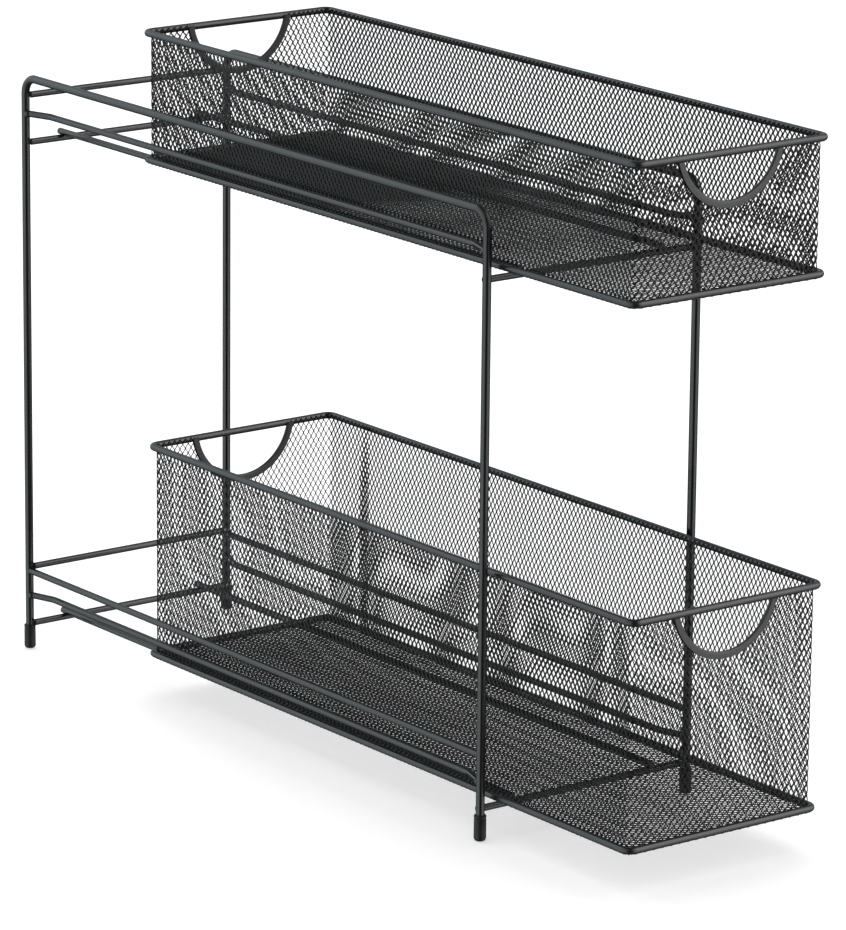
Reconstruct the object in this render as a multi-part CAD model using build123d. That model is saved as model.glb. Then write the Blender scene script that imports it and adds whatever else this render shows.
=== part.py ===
from build123d import *
import math
import os

# Two-tier pull-out cabinet basket: a free-standing wire frame with two mesh baskets
# that slide out to the front. Millimetres, +Z up, the front faces -Y.
# The origin lies on the floor, at the middle of the whole part as it is modelled,
# with the baskets partly pulled out.

# Frame, measured between the wires' centres
frame_length = 455.5      # front legs to back legs
frame_width = 147.6       # left legs to right legs
leg_wire = 4.6            # wire of the two side frames
rod_wire = 3.6            # wire of the rods and rails
top_bend = 10.0           # side frame corners

# Foot caps
foot_diameter = 7.0
foot_height = 15.2
foot_flat = 3.0           # flat at the bottom, inside the bevel
foot_floor = 1.6          # rubber under the end of the leg
foot_fit = 0.05           # cap bore round the leg

# Tiers, heights of the wires' centres
bottom_rod_height = {"upper": 318.6, "lower": 17.1}   # above the floor
frame_head = 41.4         # top of the side frames above the upper bottom rod
stop_rod_rise = {"upper": 28.9, "lower": 36.1}        # back top rod above the bottom one
side_wire_drop = 3.6      # side wires under the lower back top rod
slide_inset = 23.7        # legs' plane to a slide rail
slide_overhang = 2.9      # slide rail past the middle of a bottom rod
guide_gap = 4.8           # guide rail above the basket's bottom rim
guide_run = 16.0          # length of the jog at each end of a guide rail
guide_bend = 9.0

# Baskets
basket_length = 460.0     # outside the rim wires
rim_wire = 3.8
rim_bend = 5.0            # corners of both rims
rim_spacing = {"upper": 75.2, "lower": 128.0}   # bottom rim to top rim
pulled_out = {"upper": 111.5, "lower": 116.0}   # from fully in to the modelled place
sheet = 0.8               # expanded metal
sheet_rise = 1.2          # wall mesh above the middle of the top rim

# Clearances
side_gap = 3.3            # basket rims to the legs
wall_gap = 1.8            # guide rail to the basket's wall
slide_gap = 0.3           # basket floor above the slide rails
stop_gap = 0.3            # pushed-in basket to the back top rod

# Finger openings in the end walls, a bow with a folded trim round its edge
bow_half_width = 34.5     # at the middle of the top rim
bow_depth = 29.0
trim_width = 4.2
trim_thickness = 2.2
trim_back = 1.1           # solid back of the folded trim
trim_fit = 0.1            # round the mesh in the fold

# Net pattern of the mesh, coarser than the real one: diamonds' width and height
net_strand = 3.0
net_edge = 5.0            # plain band along the sheet's edges
floor_pitch = (40.5, 55.0)
long_wall_pitch = (36.0, 62.0)
end_wall_pitch = (23.0, 26.0)

# Small rounds are drawn as polygons with this many sides
wire_sides = 12
foot_sides = 24
bow_sides = 48

half_length = frame_length / 2
half_width = frame_width / 2
frame_height = bottom_rod_height["upper"] + frame_head
rim_radius = rim_wire / 2
rod_line = half_length - (leg_wire + rod_wire) / 2
rim_half_width = half_width - leg_wire / 2 - side_gap - rim_radius
wall_half_width = rim_half_width - rim_radius
guide_line = wall_half_width + wall_gap + rod_wire / 2
rim_length = basket_length - rim_wire
wall_length = rim_length - rim_wire
wall_bend = rim_bend - rim_radius
bow_radius = (bow_half_width ** 2 + bow_depth ** 2) / (2 * bow_depth)
bow_rise = bow_radius - bow_depth
pushed_in = rod_line - rod_wire / 2 - stop_gap - wall_length / 2
basket_middle = {tier: pushed_in - pull for tier, pull in pulled_out.items()}
front_end = min(basket_middle.values()) - basket_length / 2
back_end = half_length + foot_diameter / 2
part_middle = (front_end + back_end) / 2
sides = {"left": -1, "right": 1}
ends = {"front": -1, "back": 1}

nodes = {}


def wire(diameter, path):
    start = Plane(origin=path @ 0, z_dir=path % 0)
    return sweep(start * RegularPolygon(diameter / 2, wire_sides), path=path)


def bent_wire(diameter, points, bend):
    return wire(diameter, FilletPolyline(*points, radius=bend))


def straight_wire(diameter, start, end):
    return wire(diameter, Line(start, end))


def side_frame(x):
    # One wire: up the back leg, along the top and down the front leg
    top = frame_height - leg_wire / 2
    points = [(x, half_length, foot_floor), (x, half_length, top),
              (x, -half_length, top), (x, -half_length, foot_floor)]
    return bent_wire(leg_wire, points, top_bend)


def foot_cap(x, y):
    # Closed tube with a bevelled end that is flat where it stands
    cap = extrude(RegularPolygon(foot_diameter / 2, foot_sides), foot_height)
    cap = chamfer(cap.faces().sort_by(Axis.Z)[0].edges(), (foot_diameter - foot_flat) / 2)
    bore = extrude(RegularPolygon(leg_wire / 2 + foot_fit, foot_sides), foot_height)
    return Pos(x, y, 0) * (cap - Pos(0, 0, foot_floor) * bore)


def cross_rod(y, height):
    return straight_wire(rod_wire, (-half_width, y, height), (half_width, y, height))


def guide_rail(side, height):
    # Butted to both legs and jogged inwards to run over the basket's bottom rim
    leg = Vector(side * half_width, half_length, height)
    jog = Vector(side * guide_line, half_length - leg_wire / 2 - guide_run, height)
    butt = leg + (jog - leg).normalized() * (leg_wire / 2)
    front = [Vector(point.X, -point.Y, point.Z) for point in (jog, butt)]
    return bent_wire(rod_wire, [butt, jog] + front, guide_bend)


def slide_rail(side, height):
    # Lies across the two bottom rods
    x, reach = side * (half_width - slide_inset), rod_line + slide_overhang
    return straight_wire(rod_wire, (x, -reach, height), (x, reach, height))


def rounded_ring(width, length, corner):
    return RectangleRounded(width, length, corner).wire()


def rim(height):
    return wire(rim_wire, Pos(0, 0, height) * rounded_ring(2 * rim_half_width, rim_length, rim_bend))


def net_holes(left, right, bottom, top, pitch, clear=lambda corner: True):
    # Staggered diamonds, halved along the edges of the area
    columns = max(1, round((right - left) / pitch[0]))
    rows = max(1, round((top - bottom) / pitch[1]))
    half_x, half_y = (right - left) / columns / 2, (top - bottom) / rows / 2
    across = half_x * half_y / math.hypot(half_x, half_y)
    shrink = 1 - net_strand / 2 / across
    holes = []
    for i in range(2 * columns + 1):
        for j in range(2 * rows + 1):
            if (i + j) % 2 == 0:
                continue
            x, y = left + i * half_x, bottom + j * half_y
            corners = []
            if i < 2 * columns:
                corners.append((x + half_x * shrink, y))
            if j < 2 * rows:
                corners.append((x, y + half_y * shrink))
            if i > 0:
                corners.append((x - half_x * shrink, y))
            if j > 0:
                corners.append((x, y - half_y * shrink))
            if all(clear(corner) for corner in corners):
                holes.append(Polyline(*corners, close=True))
    return holes


def net(outline, holes):
    return Face(outline.outer_wire(), [Wire(hole.edges()) for hole in holes])


def wall_corner(end, height):
    # Half of a rounded corner: the wall next to it has the other half
    centre_x = end
    turn = math.radians(45)
    side = math.copysign(1, end)

    def on_arc(radius, angle):
        return (centre_x + side * radius * math.sin(angle), 0,
                radius * math.cos(angle) - wall_bend)

    inner = wall_bend - sheet
    face = make_face([
        ThreePointArc(on_arc(wall_bend, 0), on_arc(wall_bend, turn / 2), on_arc(wall_bend, turn)),
        Line(on_arc(wall_bend, turn), on_arc(inner, turn)),
        ThreePointArc(on_arc(inner, turn), on_arc(inner, turn / 2), on_arc(inner, 0)),
        Line(on_arc(inner, 0), on_arc(wall_bend, 0)),
    ])
    return extrude(face, height, dir=(0, 1, 0))


def wall(length, tier, pitch, bow=False):
    # Flat wall with half a rounded corner at each end: X along it, Y up, outside at Z = 0
    flat = length / 2 - wall_bend
    netted = flat - net_strand / 2
    rim_line = rim_spacing[tier] + rim_radius
    height = rim_line + sheet_rise
    outline = Pos(0, height / 2) * Rectangle(2 * flat, height)
    centre = (0, rim_line + bow_rise)
    keep_off = 0
    if bow:
        cut_radius = bow_radius - trim_width / 2 + trim_back + trim_fit
        outline -= Pos(*centre) * RegularPolygon(cut_radius, bow_sides)
        keep_off = bow_radius + trim_width / 2 + net_strand / 2
    holes = net_holes(-netted, netted, net_edge, rim_line - net_edge, pitch,
                      lambda corner: math.dist(corner, centre) > keep_off)
    panel = extrude(net(outline.face(), holes), -sheet)
    for end in (-flat, flat):
        panel += wall_corner(end, height)
    return panel


def bow_ring(inner, outer, thickness):
    # Lies astride the middle of the wall sheet, which is a little inside the wall's outer face
    ring = RegularPolygon(outer, bow_sides) - RegularPolygon(inner, bow_sides)
    return Pos(0, 0, -(sheet + thickness) / 2) * extrude(ring, thickness)


def bow_trim(tier):
    # Strip folded over the mesh edge, cut off where it meets the top rim
    rim_line = rim_spacing[tier] + rim_radius
    inner, outer = bow_radius - trim_width / 2, bow_radius + trim_width / 2
    ring = bow_ring(inner, outer, trim_thickness)
    ring -= bow_ring(inner + trim_back, outer + trim_fit, sheet + 2 * trim_fit)
    ring = Pos(0, rim_line + bow_rise, 0) * ring
    lean_out = rim_radius - (trim_thickness - sheet) / 2
    cut_height = rim_line - math.sqrt(rim_radius ** 2 - lean_out ** 2)
    return split(ring, bisect_by=Plane.XZ.offset(-cut_height), keep=Keep.TOP)


def on_wall(normal, middle, floor_top):
    # Frame of a wall: its outside faces along the normal, its Y points up
    along = Vector(0, 0, 1).cross(Vector(*normal))
    reach = wall_half_width if normal[0] else wall_length / 2
    origin = (normal[0] * reach, middle + normal[1] * reach, floor_top)
    return Plane(origin=origin, x_dir=along, z_dir=normal)


def add_basket(tier, slide_height):
    floor_bottom = slide_height + rod_wire / 2 + slide_gap
    floor_top = floor_bottom + sheet
    bottom_rim = floor_top + rim_radius
    top_rim = bottom_rim + rim_spacing[tier]
    middle = basket_middle[tier]
    place = Pos(0, middle, 0)
    nodes[f"{tier}_bottom_rim"] = place * rim(bottom_rim)
    nodes[f"{tier}_top_rim"] = place * rim(top_rim)

    outline = Face(rounded_ring(2 * rim_half_width, rim_length, rim_bend))
    inner_x, inner_y = wall_half_width - net_edge, wall_length / 2 - net_edge
    holes = net_holes(-inner_x, inner_x, -inner_y, inner_y, floor_pitch)
    floor = extrude(net(outline, holes), sheet)
    nodes[f"{tier}_floor_mesh"] = place * Pos(0, 0, floor_bottom) * floor

    long_wall = wall(wall_length, tier, long_wall_pitch)
    end_wall = wall(2 * wall_half_width, tier, end_wall_pitch, bow=True)
    trim = bow_trim(tier)
    for name, side in sides.items():
        frame = on_wall((side, 0, 0), middle, floor_top)
        nodes[f"{tier}_{name}_wall_mesh"] = frame * long_wall
    for name, side in ends.items():
        frame = on_wall((0, side, 0), middle, floor_top)
        nodes[f"{tier}_{name}_wall_mesh"] = frame * end_wall
        nodes[f"{tier}_{name}_finger_trim"] = frame * trim
    return bottom_rim


for name, side in sides.items():
    nodes[f"{name}_side_frame"] = side_frame(side * half_width)
    for end, direction in ends.items():
        nodes[f"{end}_{name}_foot"] = foot_cap(side * half_width, direction * half_length)

for tier in ("upper", "lower"):
    bottom_height = bottom_rod_height[tier]
    nodes[f"{tier}_back_top_rod"] = cross_rod(rod_line, bottom_height + stop_rod_rise[tier])
    nodes[f"{tier}_back_bottom_rod"] = cross_rod(rod_line, bottom_height)
    nodes[f"{tier}_front_rod"] = cross_rod(-rod_line, bottom_height)
    slide_height = bottom_height + rod_wire
    bottom_rim = add_basket(tier, slide_height)
    guide_height = bottom_rim + rim_radius + guide_gap + rod_wire / 2
    for name, side in sides.items():
        nodes[f"{tier}_{name}_slide_rail"] = slide_rail(side, slide_height)
        nodes[f"{tier}_{name}_guide_rail"] = guide_rail(side, guide_height)

butt = half_length - leg_wire / 2
side_wire_height = bottom_rod_height["lower"] + stop_rod_rise["lower"] - side_wire_drop
for name, side in sides.items():
    front, back = [(side * half_width, y, side_wire_height) for y in (-butt, butt)]
    nodes[f"lower_{name}_side_wire"] = straight_wire(rod_wire, front, back)

os.makedirs("parts", exist_ok=True)
for name, shape in nodes.items():
    export_step(Pos(0, -part_middle, 0) * shape, f"parts/{name}.step")
print(len(nodes), "nodes")
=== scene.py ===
import math

import bmesh
import bpy
import numpy as np
from mathutils import Matrix, Vector, noise


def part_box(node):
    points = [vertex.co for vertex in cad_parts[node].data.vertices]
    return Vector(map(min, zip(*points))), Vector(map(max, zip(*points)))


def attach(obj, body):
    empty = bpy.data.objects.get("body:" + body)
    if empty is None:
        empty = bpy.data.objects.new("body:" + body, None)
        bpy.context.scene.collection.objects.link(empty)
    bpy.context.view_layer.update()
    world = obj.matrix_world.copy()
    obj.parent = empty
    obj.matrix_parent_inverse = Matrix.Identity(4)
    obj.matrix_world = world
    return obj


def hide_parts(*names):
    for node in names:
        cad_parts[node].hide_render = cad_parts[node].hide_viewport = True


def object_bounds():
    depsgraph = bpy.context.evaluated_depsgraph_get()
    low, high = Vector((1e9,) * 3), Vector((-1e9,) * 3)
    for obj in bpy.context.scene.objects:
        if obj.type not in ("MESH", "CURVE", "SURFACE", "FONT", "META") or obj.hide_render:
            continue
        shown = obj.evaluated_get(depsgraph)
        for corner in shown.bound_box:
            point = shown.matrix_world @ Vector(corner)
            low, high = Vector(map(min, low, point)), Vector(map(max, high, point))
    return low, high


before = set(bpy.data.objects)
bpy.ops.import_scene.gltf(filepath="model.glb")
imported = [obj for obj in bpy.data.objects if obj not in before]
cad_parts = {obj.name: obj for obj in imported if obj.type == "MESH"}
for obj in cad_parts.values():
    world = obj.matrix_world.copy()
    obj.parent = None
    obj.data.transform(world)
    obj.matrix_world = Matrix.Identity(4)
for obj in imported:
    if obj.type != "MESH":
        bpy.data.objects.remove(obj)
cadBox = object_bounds()
mm = 0.001
tiny = 1e-9                   # keeps a division off zero
up = Vector((0, 0, 1))
tiers = ("upper", "lower")
sides = ("left", "right")
print("frame loaded:", len(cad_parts), "nodes")


# Camera, at the photograph's view
viewpoint = {
    "target": (0, 59.7 * mm, 178 * mm),
    "azimuth": -37.09,
    "elevation": 14.90,
    "roll": 0.566,
    "distance": 3.35503,
    "slide": (44.67 * mm, -22.27 * mm),   # across and up, at the target
    "focalPixels": 5729.6,
    "imageHeight": 930,
    "sensor": 36,
    "clip": (0.1, 100),
}


def makeCamera(view):
    azimuth = math.radians(view["azimuth"])
    elevation = math.radians(view["elevation"])
    roll = math.radians(view["roll"])
    back = Vector((math.sin(azimuth) * math.cos(elevation),
                   -math.cos(azimuth) * math.cos(elevation), math.sin(elevation)))
    across = up.cross(back).normalized()
    above = back.cross(across)
    right = across * math.cos(roll) + above * math.sin(roll)
    top = above * math.cos(roll) - across * math.sin(roll)
    place = (Vector(view["target"]) + right * view["slide"][0] + top * view["slide"][1]
             + back * view["distance"])
    lens = bpy.data.cameras.new("camera")
    lens.sensor_width = view["sensor"]
    lens.lens = view["focalPixels"] * view["sensor"] / view["imageHeight"]
    lens.clip_start, lens.clip_end = view["clip"]
    camera = bpy.data.objects.new("camera", lens)
    bpy.context.collection.objects.link(camera)
    turn = Matrix((right, top, back)).transposed().to_4x4()
    camera.matrix_world = Matrix.Translation(place) @ turn
    bpy.context.scene.camera = camera


makeCamera(viewpoint)
print("camera placed")


# Finishes
def plug(tree, socket, value):
    if isinstance(value, bpy.types.NodeSocket):
        tree.links.new(value, socket)
    else:
        socket.default_value = value


def nodeTree(tree):
    def add(kind, **inputs):
        node = tree.nodes.new(kind)
        for name, value in inputs.items():
            plug(tree, node.inputs[name.replace("_", " ")], value)
        return node
    return add


def mixColours(tree, factor, first, second, way="MIX"):
    node = tree.nodes.new("ShaderNodeMix")
    node.data_type, node.blend_type = "RGBA", way
    for name, value in (("Factor", factor), ("A", first), ("B", second)):
        plug(tree, node.inputs[name], value)
    return node.outputs["Result"]


grain = {
    "peelDetail": 2.0, "peelRoughness": 0.5,
    "patchDetail": 3.0, "patchRoughness": 0.6,
    "patchRange": (0.3, 0.7),     # what the patches mostly lie between
    "speckScale": 900.0,
    "speckSize": 0.16,
}


def makeCoatGroup():
    # Powder coat: fine orange peel, patches a little duller, and specks of dust
    group = bpy.data.node_groups.new("coatGrain", "ShaderNodeTree")
    for name in ("Peel Scale", "Patch Scale", "Speck Amount"):
        group.interface.new_socket(name, in_out="INPUT", socket_type="NodeSocketFloat")
    for name in ("Height", "Patches", "Specks"):
        group.interface.new_socket(name, in_out="OUTPUT", socket_type="NodeSocketFloat")
    add = nodeTree(group)
    given = add("NodeGroupInput")
    put = add("NodeGroupOutput")
    place = add("ShaderNodeTexCoord").outputs["Object"]
    peel = add("ShaderNodeTexNoise", Vector=place, Scale=given.outputs["Peel Scale"],
               Detail=grain["peelDetail"], Roughness=grain["peelRoughness"])
    patches = add("ShaderNodeTexNoise", Vector=place, Scale=given.outputs["Patch Scale"],
                  Detail=grain["patchDetail"], Roughness=grain["patchRoughness"])
    specks = add("ShaderNodeTexVoronoi", Vector=place, Scale=grain["speckScale"])
    near = add("ShaderNodeMapRange", Value=specks.outputs["Distance"], From_Min=0.0,
               From_Max=grain["speckSize"], To_Min=1.0, To_Max=0.0)
    seen = add("ShaderNodeMath", Value=near.outputs[0])
    seen.operation = "MULTIPLY"
    group.links.new(given.outputs["Speck Amount"], seen.inputs[1])
    group.links.new(peel.outputs[0], put.inputs["Height"])
    group.links.new(patches.outputs[0], put.inputs["Patches"])
    group.links.new(seen.outputs[0], put.inputs["Specks"])
    return group


coatGroup = makeCoatGroup()


def makeCoat(name, look):
    material = bpy.data.materials.new(name)
    material.use_nodes = True
    tree = material.node_tree
    add = nodeTree(tree)
    shader = tree.nodes["Principled BSDF"]
    coat = add("ShaderNodeGroup")
    coat.node_tree = coatGroup
    coat.inputs["Peel Scale"].default_value = look["peelScale"]
    coat.inputs["Patch Scale"].default_value = look["patchScale"]
    coat.inputs["Speck Amount"].default_value = look["specks"]
    dark, light, dust = [(*look[key], 1) for key in ("dark", "light", "dust")]
    tone = mixColours(tree, coat.outputs["Patches"], dark, light)
    dusty = mixColours(tree, coat.outputs["Specks"], tone, dust)
    dull = add("ShaderNodeMapRange", Value=coat.outputs["Patches"],
               From_Min=grain["patchRange"][0], From_Max=grain["patchRange"][1],
               To_Min=look["roughness"][0], To_Max=look["roughness"][1])
    bump = add("ShaderNodeBump", Height=coat.outputs["Height"], Distance=look["peelDepth"],
               Strength=1.0)
    plug(tree, shader.inputs["Base Color"], dusty)
    plug(tree, shader.inputs["Roughness"], dull.outputs[0])
    plug(tree, shader.inputs["Normal"], bump.outputs[0])
    shader.inputs["Specular IOR Level"].default_value = look["specular"]
    return material


coats = {
    "coated_wire": {
        "dark": (0.0038, 0.0040, 0.0042), "light": (0.0068, 0.0070, 0.0072),
        "dust": (0.02, 0.02, 0.02), "roughness": (0.17, 0.25), "specular": 0.5,
        "peelScale": 2200.0, "peelDepth": 0.010 * mm, "patchScale": 60.0, "specks": 0.25,
    },
    "basket_rim": {
        "dark": (0.0044, 0.0047, 0.0050), "light": (0.0078, 0.0081, 0.0085),
        "dust": (0.02, 0.02, 0.02), "roughness": (0.20, 0.29), "specular": 0.5,
        "peelScale": 2400.0, "peelDepth": 0.010 * mm, "patchScale": 70.0, "specks": 0.25,
    },
    "basket_mesh": {
        "dark": (0.0012, 0.0013, 0.0014), "light": (0.0028, 0.0029, 0.0031),
        "dust": (0.012, 0.012, 0.012), "roughness": (0.30, 0.44), "specular": 0.18,
        "peelScale": 3000.0, "peelDepth": 0.010 * mm, "patchScale": 90.0, "specks": 0.3,
    },
    "finger_trim": {
        "dark": (0.0058, 0.0061, 0.0065), "light": (0.0100, 0.0104, 0.0108),
        "dust": (0.022, 0.022, 0.022), "roughness": (0.30, 0.40), "specular": 0.5,
        "peelScale": 2600.0, "peelDepth": 0.012 * mm, "patchScale": 80.0, "specks": 0.2,
    },
    "foot_caps": {
        "dark": (0.0032, 0.0032, 0.0032), "light": (0.0062, 0.0062, 0.0062),
        "dust": (0.030, 0.029, 0.028), "roughness": (0.40, 0.54), "specular": 0.3,
        "peelScale": 1500.0, "peelDepth": 0.02 * mm, "patchScale": 120.0, "specks": 0.5,
    },
}
finishes = {slot: makeCoat(slot, look) for slot, look in coats.items()}
print("finishes made:", len(finishes))


# Pieces ride, carry their finish and stand for their nodes
def pieceName(node):
    first, *rest = node.split("_")
    return first + "".join(word.capitalize() for word in rest)


def bodyOf(node):
    for tier in tiers:
        if node.startswith(tier) and node.split("_")[-1] in ("rim", "mesh", "trim"):
            return f"{tier}_basket"
    return "frame"


def finishPiece(piece, slot, *nodes, body=None):
    piece.data.materials.append(finishes[slot])
    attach(piece, body or bodyOf(nodes[0]))
    if nodes:
        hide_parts(*nodes)
    return piece


def newPiece(name, data):
    piece = bpy.data.objects.new(name, data)
    bpy.context.collection.objects.link(piece)
    return piece


def meshPiece(name, mesh):
    data = bpy.data.meshes.new(name)
    mesh.to_mesh(data)
    mesh.free()
    return newPiece(name, data)


def middleOf(node):
    low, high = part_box(node)
    return (low + high) / 2


def legOf(side):
    # Radius of a side frame's wire, and the middles of its front and its back leg
    low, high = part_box(f"{side}_side_frame")
    radius = (high.x - low.x) / 2
    x = low.x + radius
    return radius, Vector((x, low.y + radius, 0)), Vector((x, high.y - radius, 0))


def turns(whole, steps):
    return [whole * k / steps for k in range(steps + 1)]


def joinRings(mesh, rings):
    # Closed rings of points, each joined to the one that follows it
    for ring, following in zip(rings, rings[1:]):
        turned, followingTurned = ring[1:] + ring[:1], following[1:] + following[:1]
        for corners in zip(ring, turned, followingTurned, following):
            mesh.faces.new(corners).smooth = True


# Wires
wires = {
    "coat": 0.20 * mm,        # powder coat over the bare wire
    "legBend": 10 * mm,
    "rimBend": 5 * mm,
    "guideRun": 16 * mm,      # length of the jog at each end of a guide rail
    "guideBend": 9 * mm,
    "guideSink": 0.7,         # share of a leg's radius from its middle to the rail's end
    "rodShort": 1 * mm,       # rods end inside the legs' outline
    "bendSteps": 12,          # pieces in a right-angled bend
    "fewestSteps": 3,
    "roundness": 7,
}


def bentPath(corners, bend, closed=False):
    path = []
    count = len(corners)
    for i, corner in enumerate(corners):
        if not closed and i in (0, count - 1):
            path.append(corner)
            continue
        before = (corners[i - 1] - corner).normalized()
        after = (corners[(i + 1) % count] - corner).normalized()
        opening = before.angle(after)
        middle = corner + (before + after).normalized() * bend / math.sin(opening / 2)
        start = corner + before * bend / math.tan(opening / 2) - middle
        turn = math.pi - opening
        axis = after.cross(before).normalized()
        steps = max(wires["fewestSteps"], round(wires["bendSteps"] * turn / (math.pi / 2)))
        path += [middle + Matrix.Rotation(part, 3, axis) @ start for part in turns(turn, steps)]
    return path


def makeWire(node, path, radius, slot, closed=False):
    curve = bpy.data.curves.new(pieceName(node), "CURVE")
    curve.dimensions = "3D"
    curve.bevel_depth = radius + wires["coat"]
    curve.bevel_resolution = wires["roundness"]
    curve.use_fill_caps = not closed
    spline = curve.splines.new("POLY")
    spline.points.add(len(path) - 1)
    for point, place in zip(spline.points, path):
        point.co = (*place, 1)
    spline.use_cyclic_u = closed
    return finishPiece(newPiece(pieceName(node), curve), slot, node)


def makeSideFrame(side):
    node = f"{side}_side_frame"
    low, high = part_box(node)
    radius, front, back = legOf(side)
    foot, top = up * low.z, up * (high.z - radius)
    corners = [back + foot, back + top, front + top, front + foot]
    makeWire(node, bentPath(corners, wires["legBend"]), radius, "coated_wire")


def makeStraightWire(node, axis, short=0.0):
    low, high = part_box(node)
    radius = (high.z - low.z) / 2
    start = (low + high) / 2
    end = start.copy()
    start[axis], end[axis] = low[axis] + short, high[axis] - short
    makeWire(node, [start, end], radius, "coated_wire")


def makeGuideRail(tier, side):
    node = f"{tier}_{side}_guide_rail"
    low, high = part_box(node)
    legRadius, *legs = legOf(side)
    radius, height = (high.z - low.z) / 2, (low.z + high.z) / 2
    inner = low.x + radius if side == "right" else high.x - radius
    corners = []
    for leg, inward in zip(legs, (1, -1)):
        leg.z = height
        jog = Vector((inner, leg.y + inward * (legRadius + wires["guideRun"]), height))
        end = leg + (jog - leg).normalized() * legRadius * wires["guideSink"]
        corners.append((end, jog))
    (front, frontJog), (back, backJog) = corners
    path = bentPath([back, backJog, frontJog, front], wires["guideBend"])
    makeWire(node, path, radius, "coated_wire")


def makeRim(tier, level):
    node = f"{tier}_{level}_rim"
    low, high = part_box(node)
    radius, coat = (high.z - low.z) / 2, wires["coat"]
    z = low.z + radius - coat
    x0, x1 = low.x + radius + coat, high.x - radius - coat
    y0, y1 = low.y + radius + coat, high.y - radius - coat
    corners = [Vector((x, y, z)) for x, y in ((x0, y0), (x1, y0), (x1, y1), (x0, y1))]
    path = bentPath(corners, wires["rimBend"], closed=True)
    makeWire(node, path, radius, "basket_rim", closed=True)


for side in sides:
    makeSideFrame(side)
    makeStraightWire(f"lower_{side}_side_wire", 1)
for tier in tiers:
    for rod in ("back_top", "back_bottom", "front"):
        makeStraightWire(f"{tier}_{rod}_rod", 0, wires["rodShort"])
    for side in sides:
        makeStraightWire(f"{tier}_{side}_slide_rail", 1)
        makeGuideRail(tier, side)
    for level in ("bottom", "top"):
        makeRim(tier, level)
print("wires bent")


# Welds
welds = {
    "rodBead": Vector((1.2, 0.8, 1.4)) * mm,
    "railBead": Vector((1.6, 1.6, 0.8)) * mm,
    "buttBead": Vector((2.3, 2.3, 2.2)) * mm,
    "roughness": 0.12,
    "roughScale": 900.0,
}


def makeWelds(name, beads):
    # Small blobs of metal under the coat, where one wire touches another
    mesh = bmesh.new()
    for place, size in beads:
        blob = bmesh.ops.create_icosphere(mesh, subdivisions=3, radius=1.0)["verts"]
        for vert in blob:
            rough = noise.noise((place + vert.co * mm) * welds["roughScale"])
            grow = 1 + welds["roughness"] * rough
            vert.co = place + Vector([c * s * grow for c, s in zip(vert.co, size)])
    for face in mesh.faces:
        face.smooth = True
    finishPiece(meshPiece(name, mesh), "coated_wire", body="frame")


def rodBeads(rod):
    # At a rod's two ends, on the outside of the legs
    low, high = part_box(rod)
    middle = middleOf(rod)
    radius = (high.z - low.z) / 2
    outward = 1 if middle.y > middleOf("left_side_frame").y else -1
    return [(Vector((x, middle.y + outward * radius, middle.z)), welds["rodBead"])
            for x in (low.x + welds["rodBead"].x, high.x - welds["rodBead"].x)]


def railBeads(rail, rods):
    # On the rods that a slide rail lies across
    x = middleOf(rail).x
    return [(Vector((x, middleOf(rod).y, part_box(rod)[1].z)), welds["railBead"]) for rod in rods]


def buttBeads(rail, side):
    # Where a rail's ends butt against the legs
    legRadius, front, back = legOf(side)
    height = middleOf(rail).z
    return [(Vector((leg.x, leg.y + inward * legRadius, height)), welds["buttBead"])
            for leg, inward in ((front, 1), (back, -1))]


for tier in tiers:
    rods = [f"{tier}_{rod}_rod" for rod in ("back_top", "back_bottom", "front")]
    rails = [f"{tier}_{side}_slide_rail" for side in sides]
    guides = [(f"{tier}_{side}_guide_rail", side) for side in sides]
    makeWelds(f"{tier}RodWelds", [bead for rod in rods for bead in rodBeads(rod)])
    makeWelds(f"{tier}RailWelds", [bead for rail in rails for bead in railBeads(rail, rods[1:])])
    makeWelds(f"{tier}GuideWelds", [bead for guide in guides for bead in buttBeads(*guide)])
makeWelds("sideWireWelds", [bead for side in sides
                            for bead in buttBeads(f"lower_{side}_side_wire", side)])
print("welds made")


# Foot caps
caps = {
    "sole": 1.5 * mm,         # radius of the flat underneath
    "soleFlat": 0.8,          # share of it before its edge rounds up
    "soleRise": 0.1 * mm,
    "bevel": 2.0 * mm,        # height of the bevel, rounded at its top
    "ring": 0.25 * mm,        # depth of the groove
    "ringFlanks": (2.6 * mm, 2.4 * mm, 1.9 * mm, 1.7 * mm),     # below the top
    "lip": 0.5 * mm,          # rolled lip
    "mouth": (0.1 * mm, 0.3 * mm),    # width and depth of the chamfer round the leg
    "inside": (0.9, 1.5 * mm),        # share of the bore, and how deep the inside is drawn
    "bevelSteps": 6,
    "lipSteps": 5,
    "steps": 48,
}


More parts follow.
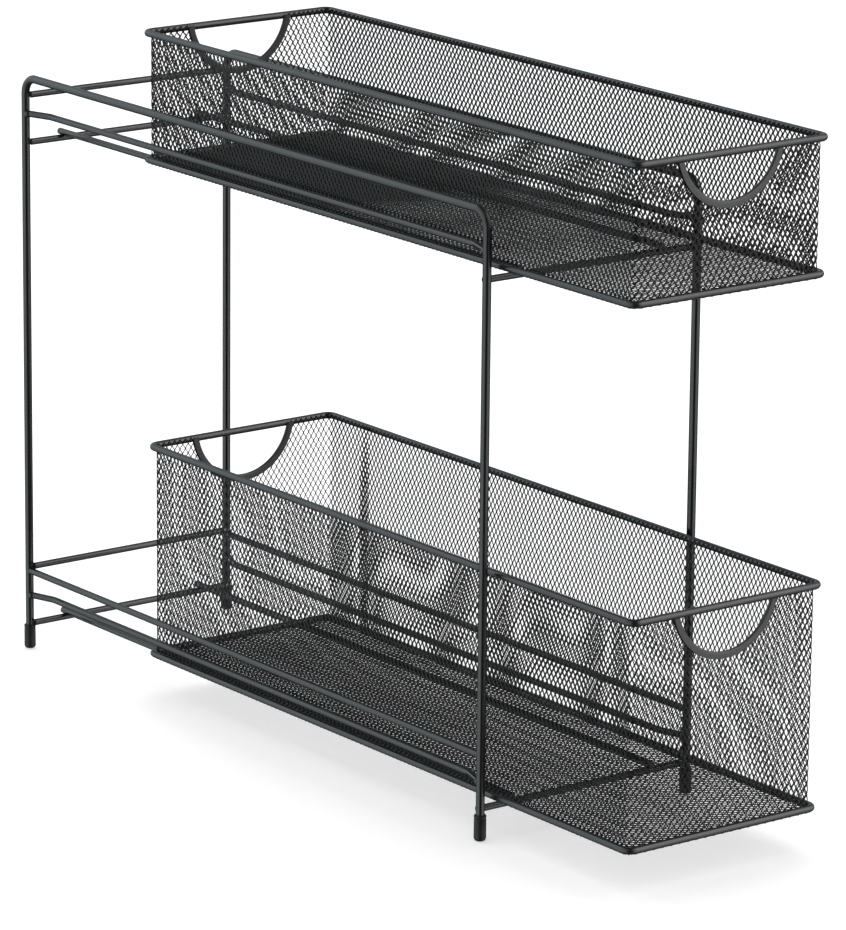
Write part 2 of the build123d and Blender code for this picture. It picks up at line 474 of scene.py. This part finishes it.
def makeFootCap(end, side):
    node = f"{end}_{side}_foot"
    low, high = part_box(node)
    bore = legOf(side)[0]
    radius, height = (high.x - low.x) / 2, high.z - low.z
    sole, rise, lip, ring = [caps[key] for key in ("sole", "soleRise", "lip", "ring")]
    profile = [(sole * caps["soleFlat"], 0)]
    for turn in turns(math.pi / 2, caps["bevelSteps"]):
        profile.append((sole + (radius - sole) * math.sin(turn),
                        rise + caps["bevel"] * (1 - math.cos(turn))))
    profile += [(radius - deep, height - down)
                for deep, down in zip((0, ring, ring, 0), caps["ringFlanks"])]
    profile += [(radius - lip + lip * math.cos(turn), height - lip + lip * math.sin(turn))
                for turn in turns(math.pi / 2, caps["lipSteps"])]
    (chamfer, chamferDepth), (narrow, depth) = caps["mouth"], caps["inside"]
    profile += [(bore + chamfer, height), (bore, height - chamferDepth),
                (bore * narrow, height - depth)]
    place = middleOf(node)
    spokes = [(math.cos(turn), math.sin(turn)) for turn in turns(math.tau, caps["steps"])[:-1]]
    mesh = bmesh.new()
    under = mesh.verts.new((place.x, place.y, low.z))
    rings = [[mesh.verts.new((place.x + r * x, place.y + r * y, low.z + z)) for x, y in spokes]
             for r, z in profile]
    for pair in zip(rings[0][1:] + rings[0][:1], rings[0]):
        mesh.faces.new((under, *pair)).smooth = True
    joinRings(mesh, rings)
    finishPiece(meshPiece(pieceName(node), mesh), "foot_caps", node)


for end in ("front", "back"):
    for side in sides:
        makeFootCap(end, side)
print("foot caps made")


# Expanded metal
expanded = {
    "pitch": (3.80 * mm, 6.05 * mm),    # across and along the openings
    "twist": 0.10 * mm,                 # strands lean, as stretching leaves them
    "wander": (0.45 * mm, 0.30 * mm),   # uneven stretch, across and along
    "waves": (190 * mm, 120 * mm, 75 * mm),
    "wanderEnds": 25 * mm,              # dies out towards the sheet's ends
    "weldWithin": 1e-7,
}
# The floors and the two baskets' walls are cut and stretched a little differently
cuts = {
    "upper": {
        "strands": (0.55 * mm, 0.46 * mm),   # level width of the falling and the rising strands
        "bond": (1.26 * mm, 1.8 * mm),       # width and height of the joints between openings
        "bondLean": -0.40 * mm,              # how far its upper end stands off its middle
        "thickness": 0.45 * mm,
        "rowLean": 4.3,                      # degrees that the columns stand off plumb
    },
    "lower": {
        "strands": (0.52 * mm, 0.52 * mm),
        "bond": (0.90 * mm, 0.75 * mm),
        "bondLean": -0.05 * mm,
        "thickness": 0.42 * mm,
        "rowLean": 1.3,
    },
    "floor": {
        "strands": (0.58 * mm, 0.58 * mm),
        "bond": (1.10 * mm, 1.1 * mm),
        "bondLean": -0.08 * mm,
        "rowLean": 0,
    },
}
floors = {   # the strands stand steeper, and so deeper, towards the back
    "upper": {"thickness": 0.42 * mm, "deepen": 0.7},
    "lower": {"thickness": 0.56 * mm, "deepen": 0.3},
}
# An opening's points: corners of its diamond 0 to 3, the hole 4 to 9, and how far they lean
leans = (0, 0, 0, 0, 1, 0, -1, -1, 0, 1)
ringFaces = [(0, 1, 5, 4), (1, 2, 6, 5), (2, 7, 6), (2, 3, 8, 7), (3, 0, 9, 8), (0, 4, 9)]
holeEdges = [(4, 5), (5, 6), (6, 7), (7, 8), (8, 9), (9, 4)]
# Faces, hole edges and cut ends that an opening has inside its sheet, and at each of its edges
whole = (range(6), range(6), [])
cutAt = {
    "low": ((0, 1, 2, 5), (0, 1, 2, 5), [(7, 2), (0, 9)]),
    "high": ((2, 3, 4, 5), (2, 3, 4, 5), [(2, 6), (4, 0)]),
    "start": ((0, 4, 5), (0, 4, 5), [(5, 1), (3, 8)]),
    "end": ((1, 2, 3), (1, 2, 3), [(1, 5), (8, 3)]),
}


def wander(flat, wide, high, lean, seed):
    # The metal isn't stretched quite evenly: it leans, with long, shallow waves
    waves = np.random.default_rng(seed)
    x, y = flat[..., 0], flat[..., 1]
    ends = np.clip(np.minimum(x, wide - x) / expanded["wanderEnds"], 0, 1)
    fade = (ends * ends * (3 - 2 * ends), np.sin(np.pi * y / high))
    shift = []
    for size, die in zip(expanded["wander"], fade):
        sway = 0
        for length in expanded["waves"]:
            turn, phase = waves.uniform(0, math.tau, 2)
            run = x * math.cos(turn) + y * math.sin(turn)
            sway = sway + np.sin(math.tau / length * run + phase)
        shift.append(size * sway * die)
    shift[0] = shift[0] - math.tan(math.radians(lean)) * (y - high / 2) * ends
    return flat + np.stack(shift, -1)


def openingShape(cut, halfWide, halfHigh):
    # Points of one opening about its middle, with strands of even width between its bonds
    falling, rising = cut["strands"]
    bondWide, bondHigh = cut["bond"]
    side = np.array([halfWide - bondWide / 2, 0])
    lift = np.array([cut["bondLean"], bondHigh / 2])
    climb = (halfHigh - bondHigh) / 2          # from a bond's end to the middle of a strand
    leftRun = ((rising - halfWide) / 2 - (lift - side)[0]) / climb
    rightRun = ((halfWide - falling) / 2 - (side + lift)[0]) / climb
    rise = 2 * side[0] / (leftRun - rightRun)
    tip = lift - side + np.array([leftRun * rise, rise])
    return np.array([(halfWide, 0), (0, halfHigh), (-halfWide, 0), (0, -halfHigh),
                     side + lift, tip, lift - side, -side - lift, -tip, side - lift])


def sheetFaces(kinds, keep, owner):
    over = len(leans)                          # from a point on one face to the one behind it
    inner = ~np.logical_or.reduce(list(kinds.values()))
    faces = []
    for which, (ring, hole, ends) in [(inner, whole)] + [(kinds[k], cutAt[k]) for k in kinds]:
        base = 2 * over * np.nonzero(which & keep)[0][:, None]
        wanted = [ringFaces[k] for k in ring]
        wanted += [tuple(p + over for p in reversed(ringFaces[k])) for k in ring]
        wanted += [(a, b, b + over, a + over) for a, b in [holeEdges[k] for k in hole] + ends]
        for face in wanted:
            faces += owner.reshape(-1)[base + np.array(face)].tolist()
    return faces


def expandSheet(name, cut, wide, high, place, cutSides=False, fitEdge=None):
    # Sheet of staggered openings, laid out flat and then put in place
    halfWide = wide / round(wide / expanded["pitch"][0]) / 2
    steps = round(high / expanded["pitch"][1] * 2)
    steps += steps % 2 if cutSides else 0
    halfHigh = high / steps
    count = round(wide / halfWide)
    columns, rows = np.meshgrid(np.arange(count + 1), np.arange(steps + 1), indexing="ij")
    centres = (columns + rows) % 2 == 1
    if not cutSides:
        centres &= columns < count
    columns, rows = columns[centres], rows[centres]
    middles = np.stack([columns * halfWide, rows * halfHigh], 1)
    flat = openingShape(cut, halfWide, halfHigh)[None] + middles[:, None]
    flat[..., 1] = np.clip(flat[..., 1], 0, high)
    if cutSides:
        flat[..., 0] = np.clip(flat[..., 0], 0, wide)
    flat = wander(flat, wide, high, cut["rowLean"], sum(map(ord, name)))
    keep = np.ones(len(flat), bool)
    if fitEdge:
        flat, keep = fitEdge(flat)
    half = cut["thickness"] / 2
    lean = np.broadcast_to(np.array(leans) * expanded["twist"], flat.shape[:2])
    layers = [place(flat[..., 0], flat[..., 1], lean + depth) for depth in (half, -half)]
    points = np.concatenate(layers, 1).reshape(-1, 3)
    rounded = np.round(points / expanded["weldWithin"]).astype(np.int64)
    first, owner = np.unique(rounded, axis=0, return_index=True, return_inverse=True)[1:]
    kinds = {"low": rows == 0, "high": rows == steps}
    if cutSides:
        kinds.update({"start": columns == 0, "end": columns == count})
    data = bpy.data.meshes.new(name)
    data.from_pydata(points[first].tolist(), [], sheetFaces(kinds, keep, owner))
    data.validate()
    loose = bmesh.new()
    loose.from_mesh(data)
    bmesh.ops.delete(loose, geom=[v for v in loose.verts if not v.link_faces], context="VERTS")
    loose.to_mesh(data)
    loose.free()
    return newPiece(name, data)


def makeFloor(tier):
    node = f"{tier}_floor_mesh"
    low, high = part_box(node)
    wide, deep = high.y - low.y, high.x - low.x
    bend = wires["rimBend"]
    height = middleOf(node).z
    cut = {**cuts["floor"], **floors[tier]}
    half = np.array([wide / 2, deep / 2])

    def roundCorners(flat):
        # Openings past the rounded corners go, and those across the edge end at it
        fromMiddle = flat - half
        past = np.abs(fromMiddle) - (half - bend)
        corner = (past > 0).all(-1)
        reach = np.hypot(past[..., 0], past[..., 1])
        outside = corner & (reach > bend)
        shrink = np.where(outside, bend / np.maximum(reach, tiny), 1)[..., None]
        fitted = np.sign(fromMiddle) * (half - bend + past * shrink)
        return np.where(outside[..., None], fitted + half, flat), ~outside.all(1)

    def place(u, v, depth):
        steep = 1 + cut["deepen"] * u / wide
        return np.stack([high.x - v, low.y + u, height + depth * steep], -1)

    piece = expandSheet(pieceName(node), cut, wide, deep, place, cutSides=True,
                        fitEdge=roundCorners)
    finishPiece(piece, "basket_mesh", node)


bow = {
    "halfWidth": 34.5 * mm,   # at the middle of the top rim
    "depth": 29.0 * mm,
    "trimWidth": 4.2 * mm,
    "meshInTrim": 1.5 * mm,   # the mesh reaches this far into the trim
}
bow["radius"] = (bow["halfWidth"] ** 2 + bow["depth"] ** 2) / (2 * bow["depth"])
bow["rise"] = bow["radius"] - bow["depth"]
walls = {
    "left": Vector((-1, 0, 0)), "right": Vector((1, 0, 0)),
    "front": Vector((0, -1, 0)), "back": Vector((0, 1, 0)),
}


def wallFrame(tier, side):
    # Middle of a wall's sheet at the basket floor, the ways along it and out of it, its
    # straight length, the bend of its corners and its height
    low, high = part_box(f"{tier}_{side}_wall_mesh")
    rimLow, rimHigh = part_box(f"{tier}_bottom_rim")
    rimRadius = (rimHigh.z - rimLow.z) / 2
    floorLow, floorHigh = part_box(f"{tier}_floor_mesh")
    sheet = floorHigh.z - floorLow.z
    out = walls[side]
    along = up.cross(out)
    centre = (rimLow + rimHigh) / 2
    reach = (rimHigh - rimLow) / 2 - Vector((1, 1, 0)) * (2 * rimRadius + sheet / 2)
    origin = Vector((centre.x + out.x * reach.x, centre.y + out.y * reach.y, low.z))
    bend = wires["rimBend"] - rimRadius - sheet / 2
    straight = 2 * abs(along.dot(reach)) - 2 * bend
    return origin, along, out, straight, bend, high.z - low.z


def wallPlace(origin, along, out, straight, bend):
    # Lays a sheet on the wall and half way round the corner at each end
    def place(u, v, depth):
        beside = u - straight / 2 - bend * math.pi / 4
        turn = np.maximum(np.abs(beside) - straight / 2, 0) / bend
        radius = bend + depth
        run = np.sign(beside) * (np.minimum(np.abs(beside), straight / 2) + radius * np.sin(turn))
        stand = radius * np.cos(turn) - bend
        return (np.array(origin) + run[..., None] * np.array(along)
                + stand[..., None] * np.array(out) + v[..., None] * np.array(up))
    return place


def rimLine(tier):
    # Middle of the top rim above the basket floor
    return middleOf(f"{tier}_top_rim").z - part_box(f"{tier}_floor_mesh")[1].z


def makeWall(tier, side):
    node = f"{tier}_{side}_wall_mesh"
    origin, along, out, straight, bend, height = wallFrame(tier, side)
    length = straight + bend * math.pi / 2
    centre = np.array([length / 2, rimLine(tier) + bow["rise"]])
    least = bow["radius"] + bow["trimWidth"] / 2 - bow["meshInTrim"]

    def cutBow(flat):
        # Openings in the bow go, and those across its edge end inside the folded trim
        fromCentre = flat - centre
        reach = np.hypot(fromCentre[..., 0], fromCentre[..., 1])
        grow = np.maximum(least / np.maximum(reach, tiny), 1)[..., None]
        return fromCentre * grow + centre, ~(reach < least).all(1)

    piece = expandSheet(pieceName(node), cuts[tier], length, height,
                        wallPlace(origin, along, out, straight, bend),
                        fitEdge=cutBow if side in ("front", "back") else None)
    finishPiece(piece, "basket_mesh", node)


seam = {
    "tier": "lower", "side": "right",
    "place": 189.5 * mm,      # its middle, behind the middle of the wall
    "openings": 2,            # width of the overlap
}


def makeSeam():
    # The ends of the wall's strip lie over each other, welded face to face
    origin, along, out, straight, bend, height = wallFrame(seam["tier"], seam["side"])
    cut = cuts[seam["tier"]]
    wide = seam["openings"] * expanded["pitch"][0]
    start = straight / 2 + bend * math.pi / 4 + seam["place"] - wide / 2
    lay = wallPlace(origin, along, out, straight, bend)

    def place(u, v, depth):
        return lay(u + start, v, depth - cut["thickness"])

    piece = expandSheet(f"{seam['tier']}WallSeam", cut, wide, height, place)
    finishPiece(piece, "basket_mesh", body=f"{seam['tier']}_basket")


for tier in tiers:
    makeFloor(tier)
    for side in walls:
        makeWall(tier, side)
makeSeam()
print("expanded metal laid")


# Finger trims
trims = {
    "thickness": 2.2 * mm,    # folded double
    "metal": 0.55 * mm,
    "fold": 0.85,             # length of the fold, as a share of half the thickness
    "foldSteps": 8,
    "edge": (0.15 * mm, 0.05 * mm),   # rounding of the strip's outer edges
    "edgeFace": 0.7,          # their flat reaches this share of the metal
    "burr": 0.1 * mm,
    "short": 0.4 * mm,        # the ends stop under the middle of the rim
    "steps": 72,
    "sharp": 40,              # degrees
}


def trimProfile():
    # Strip folded double over the mesh: across the strip and out of the wall
    reach, half, metal = bow["trimWidth"] / 2, trims["thickness"] / 2, trims["metal"]
    fold, face = half * trims["fold"], metal * trims["edgeFace"]
    (inward, down), burr = trims["edge"], trims["burr"]
    profile = [(reach, half - face), (reach - inward, half - down)]
    profile += [(-reach + fold * (1 - math.sin(turn)), half * math.cos(turn))
                for turn in turns(math.pi, trims["foldSteps"])]
    profile += [(reach - inward, -half + down), (reach, -half + face),
                (reach - burr, -half + metal), (-reach + fold, -half + metal),
                (-reach + metal, 0), (-reach + fold, half - metal),
                (reach - burr, half - metal)]
    return profile


def makeTrim(tier, end):
    node = f"{tier}_{end}_finger_trim"
    origin, along, out = wallFrame(tier, end)[:3]
    centre = origin + up * (rimLine(tier) + bow["rise"])
    stop = math.asin((bow["rise"] - trims["short"]) / bow["radius"])
    mesh = bmesh.new()
    rings = []
    for turn in turns(math.pi - 2 * stop, trims["steps"]):
        toEdge = along * math.cos(stop + turn) - up * math.sin(stop + turn)
        rings.append([mesh.verts.new(centre + toEdge * (bow["radius"] + across) + out * stand)
                      for across, stand in trimProfile()])
    joinRings(mesh, rings)
    for ring in (rings[0], rings[-1]):
        mesh.faces.new(ring)
    bmesh.ops.recalc_face_normals(mesh, faces=mesh.faces)
    piece = meshPiece(pieceName(node), mesh)
    piece.data.set_sharp_from_angle(angle=math.radians(trims["sharp"]))
    finishPiece(piece, "finger_trim", node)


for tier in tiers:
    for end in ("front", "back"):
        makeTrim(tier, end)
print("finger trims folded")


# Floor and light
studio = {
    "floorSize": 40.0,
    "floorColour": (0.6, 0.6, 0.6, 1),
    "floorRoughness": 0.9,
    "floorGlow": 0.47,                # the lit table is so pale that shadows on it stay faint
    "sky": 1.0,                       # plain light all round, for matt surfaces and the camera
    "lamp": {"place": (0.7, 1.0, 2.4), "size": 2.6, "power": 33.0},
    "brightest": 5.0,                 # full scale of the two ramps
    # What the gloss shows, by the way round from the camera in degrees, left positive:
    # the white table below, and the soft boxes at the sides with the dark room between them
    "table": [(-180, 0.05), (-145, 0.05), (-114, 0.25), (-92, 1.4), (-66, 2.0), (-46, 1.5),
              (-26, 0.05), (14, 0.0), (31, 1.8), (62, 2.3), (97, 1.4), (118, 1.0), (137, 0.05)],
    "boxes": [(-180, 0.4), (-150, 0.3), (-125, 1.5), (-100, 3.1), (-75, 3.7), (-50, 2.2),
              (-25, 0.1), (15, 0.05), (35, 1.4), (100, 1.8), (130, 1.5), (155, 0.6), (180, 0.4)],
    "under": 0.25,                    # straight below, in the object's own shade
    "ceiling": 0.2,
    "tableEdge": (-0.12, 0.02),       # where one gives way to the next, by its height
    "underEdge": (-0.85, -0.35),
    "ceilingEdge": (0.75, 0.93),
    "leftTint": (0.90, 1.0, 1.04, 1),
    "rightTint": (1.0, 1.0, 0.985, 1),
    "tintEdge": (-0.4, 0.4),          # from right to left
}


def greyOf(level):
    share = level / studio["brightest"]
    return (share, share, share, 1)


def azimuthRamp(tree, turn, levels):
    ramp = tree.nodes.new("ShaderNodeValToRGB")
    tree.links.new(turn, ramp.inputs[0])
    stops = ramp.color_ramp.elements
    while len(stops) < len(levels):
        stops.new(0.5)
    for stop, (degrees, level) in zip(stops, levels):
        stop.position = (degrees + 180) / 360
        stop.color = greyOf(level)
    return ramp.outputs[0]


def makeSurroundings(world):
    # Matt surfaces and the camera see a plain pale room, gloss sees the soft boxes
    world.use_nodes = True
    tree = world.node_tree
    add = nodeTree(tree)

    def sums(kind, first, second):
        node = add("ShaderNodeMath")
        node.operation = kind
        for socket, value in zip(node.inputs, (first, second)):
            plug(tree, socket, value)
        return node.outputs[0]

    def step(value, edge):
        start, end = studio[edge]
        node = add("ShaderNodeMapRange", Value=value, From_Min=start, From_Max=end)
        node.interpolation_type = "SMOOTHSTEP"
        return node.outputs[0]

    way = add("ShaderNodeTexCoord").outputs["Generated"]
    parts = add("ShaderNodeSeparateXYZ", Vector=way).outputs
    azimuth = math.radians(viewpoint["azimuth"])
    toCamera = (math.sin(azimuth), -math.cos(azimuth))
    toLeft = (-math.cos(azimuth), -math.sin(azimuth))
    ways = [sums("ADD", sums("MULTIPLY", parts[0], x), sums("MULTIPLY", parts[1], y))
            for x, y in (toLeft, toCamera)]
    turn = sums("ARCTAN2", *ways)
    around = sums("ADD", sums("DIVIDE", turn, math.tau), 0.5)
    table = azimuthRamp(tree, around, studio["table"])
    boxes = azimuthRamp(tree, around, studio["boxes"])
    light = mixColours(tree, step(parts[2], "tableEdge"), table, boxes)
    light = mixColours(tree, step(parts[2], "underEdge"), greyOf(studio["under"]), light)
    light = mixColours(tree, step(parts[2], "ceilingEdge"), light, greyOf(studio["ceiling"]))
    tint = mixColours(tree, step(ways[0], "tintEdge"), studio["rightTint"], studio["leftTint"])
    tinted = mixColours(tree, 1.0, light, tint, "MULTIPLY")
    glossed = add("ShaderNodeBackground", Color=tinted, Strength=studio["brightest"])
    plain = tree.nodes["Background"]
    plain.inputs["Color"].default_value = (1, 1, 1, 1)
    plain.inputs["Strength"].default_value = studio["sky"]
    mix = add("ShaderNodeMixShader")
    seen = (add("ShaderNodeLightPath").outputs["Is Glossy Ray"], plain.outputs[0],
            glossed.outputs[0])
    for socket, value in zip(mix.inputs, seen):
        plug(tree, socket, value)
    plug(tree, tree.nodes["World Output"].inputs["Surface"], mix.outputs[0])


def makeStudio():
    bpy.ops.mesh.primitive_plane_add(size=studio["floorSize"], location=(0, 0, cadBox[0].z))
    floor = bpy.context.object
    floor.name = "floor"
    paint = bpy.data.materials.new("paleFloor")
    paint.use_nodes = True
    shader = paint.node_tree.nodes["Principled BSDF"]
    shader.inputs["Base Color"].default_value = studio["floorColour"]
    shader.inputs["Roughness"].default_value = studio["floorRoughness"]
    shader.inputs["Specular IOR Level"].default_value = 0.0
    shader.inputs["Emission Color"].default_value = (1, 1, 1, 1)
    shader.inputs["Emission Strength"].default_value = studio["floorGlow"]
    floor.data.materials.append(paint)
    floor.visible_glossy = False
    lamp = bpy.data.lights.new("soft", "AREA")
    lamp.energy = studio["lamp"]["power"]
    lamp.shape = "DISK"
    lamp.size = studio["lamp"]["size"]
    light = newPiece("soft", lamp)
    light.location = studio["lamp"]["place"]
    light.rotation_euler = Vector(studio["lamp"]["place"]).to_track_quat("Z", "Y").to_euler()
    light.visible_glossy = False
    world = bpy.data.worlds.new("studio")
    bpy.context.scene.world = world
    makeSurroundings(world)
    bpy.context.scene.view_settings.view_transform = "Standard"


makeStudio()
print("studio lit")
